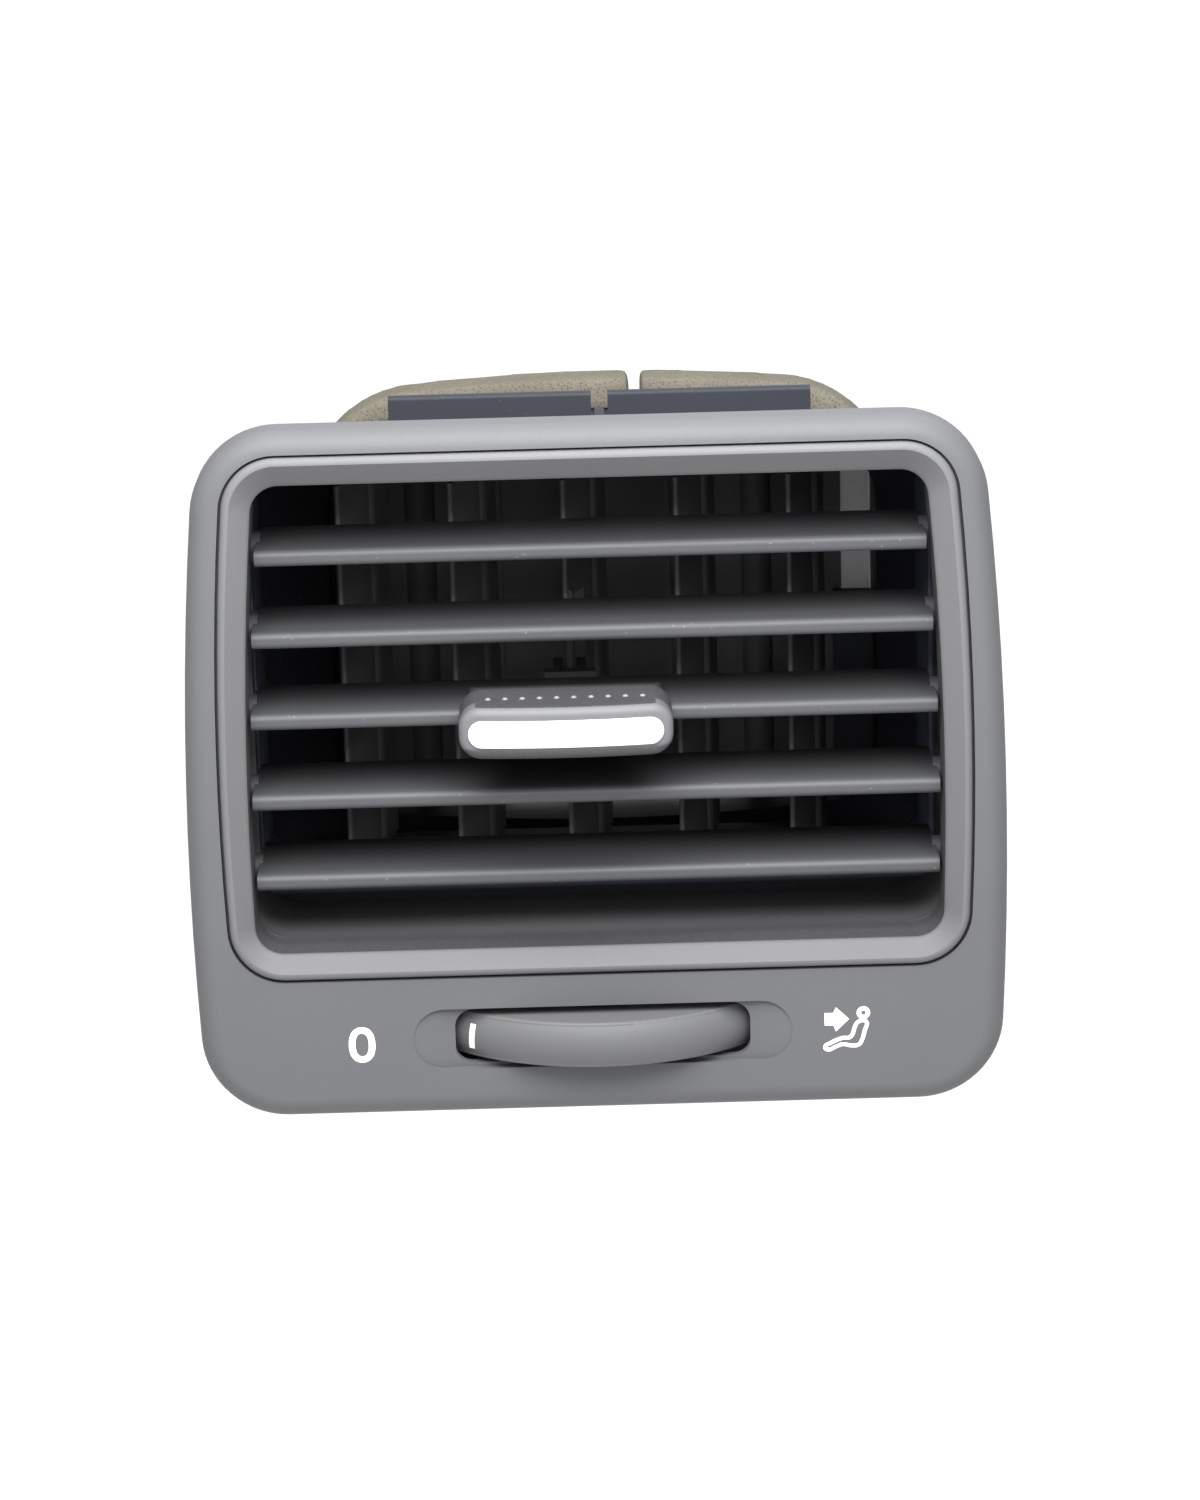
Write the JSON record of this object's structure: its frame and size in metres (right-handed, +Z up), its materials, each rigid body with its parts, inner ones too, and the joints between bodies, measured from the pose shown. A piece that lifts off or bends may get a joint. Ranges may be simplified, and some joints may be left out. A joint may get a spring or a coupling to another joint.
{
  "type": "dashboard air vent",
  "caption": "Dashboard air vent with tilting louvres, vanes swung by a sliding knob, and a shut-off worked by a thumbwheel.",
  "frame": {"origin": "centre of the dashboard opening: on the plane of the bezel's rear rim, level with the middle louvre's axis", "axes": "+X to the right as the driver sees the vent, +Y back into the dashboard, +Z up"},
  "size_m": [0.1228, 0.0958, 0.1056],
  "materials": {
    "trim_grey": "fine grain",
    "frame_grey": "fine grain",
    "louvre_grey": "satin",
    "knob_grey": "satin",
    "insert_white": "satin",
    "duct_black": "moulded",
    "vane_black": "moulded",
    "link_plastic": "moulded",
    "wheel_grey": "satin",
    "collar_foam": "open foam",
    "seal_felt": "felt",
    "steel": "zinc plated"
  },
  "bodies": {
    "housing": {"front_bezel": "trim_grey", "vent_frame": "frame_grey", "duct_shell": "duct_black", "vane_rail_upper": "link_plastic", "vane_rail_lower": "link_plastic", "collar_foam": "collar_foam", "wheel_bracket": "duct_black", "wheel_pin": "steel", "wheel_clip": "steel", "bezel_screws": "steel"},
    "louvre_3": {"louvre_3": "louvre_grey"},
    "louvre_1": {"louvre_1": "louvre_grey"},
    "louvre_2": {"louvre_2": "louvre_grey"},
    "louvre_4": {"louvre_4": "louvre_grey"},
    "louvre_5": {"louvre_5": "louvre_grey"},
    "louvre_link": {"louvre_tie_bar": "link_plastic"},
    "knob": {"knob_body": "knob_grey", "knob_insert": "insert_white", "knob_fork": "link_plastic"},
    "vane_3": {"vane_3": "vane_black"},
    "vane_1": {"vane_1": "vane_black"},
    "vane_2": {"vane_2": "vane_black"},
    "vane_4": {"vane_4": "vane_black"},
    "vane_5": {"vane_5": "vane_black"},
    "vane_link": {"vane_tie_bar": "link_plastic"},
    "thumbwheel": {"thumbwheel": "wheel_grey"},
    "leaf_1": {"shutter_leaf_1": "vane_black", "shutter_crank_1": "link_plastic"},
    "leaf_2": {"shutter_leaf_2": "vane_black", "shutter_crank_2": "link_plastic"},
    "leaf_3": {"shutter_leaf_3": "vane_black", "shutter_crank_3": "link_plastic", "leaf_seal": "seal_felt"},
    "shutter_link": {"shutter_link": "link_plastic"},
    "link_rod": {"link_rod": "link_plastic"}
  },
  "joints": [
    {"name": "louvre_3_tilt", "type": "hinge", "parent": "housing", "child": "louvre_3", "pos_m": [0, 0.007, 0], "axis": [1, 0, 0], "range_deg": [-25, 25]},
    {"name": "louvre_1_tilt", "type": "hinge", "parent": "housing", "child": "louvre_1", "pos_m": [0, 0.007, 0.025], "axis": [1, 0, 0], "range_deg": [-25, 25]},
    {"name": "louvre_2_tilt", "type": "hinge", "parent": "housing", "child": "louvre_2", "pos_m": [0, 0.007, 0.0125], "axis": [1, 0, 0], "range_deg": [-25, 25]},
    {"name": "louvre_4_tilt", "type": "hinge", "parent": "housing", "child": "louvre_4", "pos_m": [0, 0.007, -0.0125], "axis": [1, 0, 0], "range_deg": [-25, 25]},
    {"name": "louvre_5_tilt", "type": "hinge", "parent": "housing", "child": "louvre_5", "pos_m": [0, 0.007, -0.025], "axis": [1, 0, 0], "range_deg": [-25, 25]},
    {"name": "louvre_link_turn", "type": "hinge", "parent": "louvre_3", "child": "louvre_link", "pos_m": [-0.05196, 0.015, 0], "axis": [1, 0, 0], "range_deg": [-25, 25]},
    {"name": "knob_slide", "type": "slide", "parent": "louvre_3", "child": "knob", "axis": [1, 0, 0], "range_m": [-0.00331, 0.01016]},
    {"name": "vane_3_swing", "type": "hinge", "parent": "housing", "child": "vane_3", "pos_m": [0, 0.038, 0], "axis": [0, 0, 1], "range_deg": [-15.8, 48.3]},
    {"name": "vane_1_swing", "type": "hinge", "parent": "housing", "child": "vane_1", "pos_m": [-0.03467, 0.038, 0], "axis": [0, 0, 1], "range_deg": [-15.8, 48.3]},
    {"name": "vane_2_swing", "type": "hinge", "parent": "housing", "child": "vane_2", "pos_m": [-0.01733, 0.038, 0], "axis": [0, 0, 1], "range_deg": [-15.8, 48.3]},
    {"name": "vane_4_swing", "type": "hinge", "parent": "housing", "child": "vane_4", "pos_m": [0.01733, 0.038, 0], "axis": [0, 0, 1], "range_deg": [-15.8, 48.3]},
    {"name": "vane_5_swing", "type": "hinge", "parent": "housing", "child": "vane_5", "pos_m": [0.03467, 0.038, 0], "axis": [0, 0, 1], "range_deg": [-15.8, 48.3]},
    {"name": "vane_link_turn", "type": "hinge", "parent": "vane_3", "child": "vane_link", "pos_m": [0.00168, 0.04376, -0.0321], "axis": [0, 0, 1], "range_deg": [-48.3, 15.8]},
    {"name": "wheel_turn", "type": "hinge", "parent": "housing", "child": "thumbwheel", "pos_m": [0, 0.018, -0.0484], "axis": [0, 0, 1], "range_deg": [0, 78]},
    {"name": "leaf_1_turn", "type": "hinge", "parent": "housing", "child": "leaf_1", "pos_m": [-0.0273, 0.0635, 0], "axis": [0, 0, 1], "range_deg": [0, 78]},
    {"name": "leaf_2_turn", "type": "hinge", "parent": "housing", "child": "leaf_2", "pos_m": [0, 0.0635, 0], "axis": [0, 0, 1], "range_deg": [0, 78]},
    {"name": "leaf_3_turn", "type": "hinge", "parent": "housing", "child": "leaf_3", "pos_m": [0.0273, 0.0635, 0], "axis": [0, 0, 1], "range_deg": [0, 78]},
    {"name": "shutter_link_turn", "type": "hinge", "parent": "leaf_2", "child": "shutter_link", "pos_m": [-0.00941, 0.06218, -0.0368], "axis": [0, 0, 1], "range_deg": [-78, 0]},
    {"name": "link_rod_turn", "type": "hinge", "parent": "thumbwheel", "child": "link_rod", "pos_m": [-0.00941, 0.01668, -0.0406], "axis": [0, 0, 1], "range_deg": [-78, 0]}
  ],
  "couplings": [
    {"joint": "louvre_1_tilt", "follows": "louvre_3_tilt", "ratio": 1},
    {"joint": "louvre_2_tilt", "follows": "louvre_3_tilt", "ratio": 1},
    {"joint": "louvre_4_tilt", "follows": "louvre_3_tilt", "ratio": 1},
    {"joint": "louvre_5_tilt", "follows": "louvre_3_tilt", "ratio": 1},
    {"joint": "louvre_link_turn", "follows": "louvre_3_tilt", "ratio": -1},
    {"joint": "vane_3_swing", "follows": "knob_slide", "rad_per_m": 82.902},
    {"joint": "vane_1_swing", "follows": "knob_slide", "rad_per_m": 82.902},
    {"joint": "vane_2_swing", "follows": "knob_slide", "rad_per_m": 82.902},
    {"joint": "vane_4_swing", "follows": "knob_slide", "rad_per_m": 82.902},
    {"joint": "vane_5_swing", "follows": "knob_slide", "rad_per_m": 82.902},
    {"joint": "vane_link_turn", "follows": "knob_slide", "rad_per_m": -82.902},
    {"joint": "leaf_1_turn", "follows": "wheel_turn", "ratio": 1},
    {"joint": "leaf_2_turn", "follows": "wheel_turn", "ratio": 1},
    {"joint": "leaf_3_turn", "follows": "wheel_turn", "ratio": 1},
    {"joint": "shutter_link_turn", "follows": "wheel_turn", "ratio": -1},
    {"joint": "link_rod_turn", "follows": "wheel_turn", "ratio": -1}
  ]
}
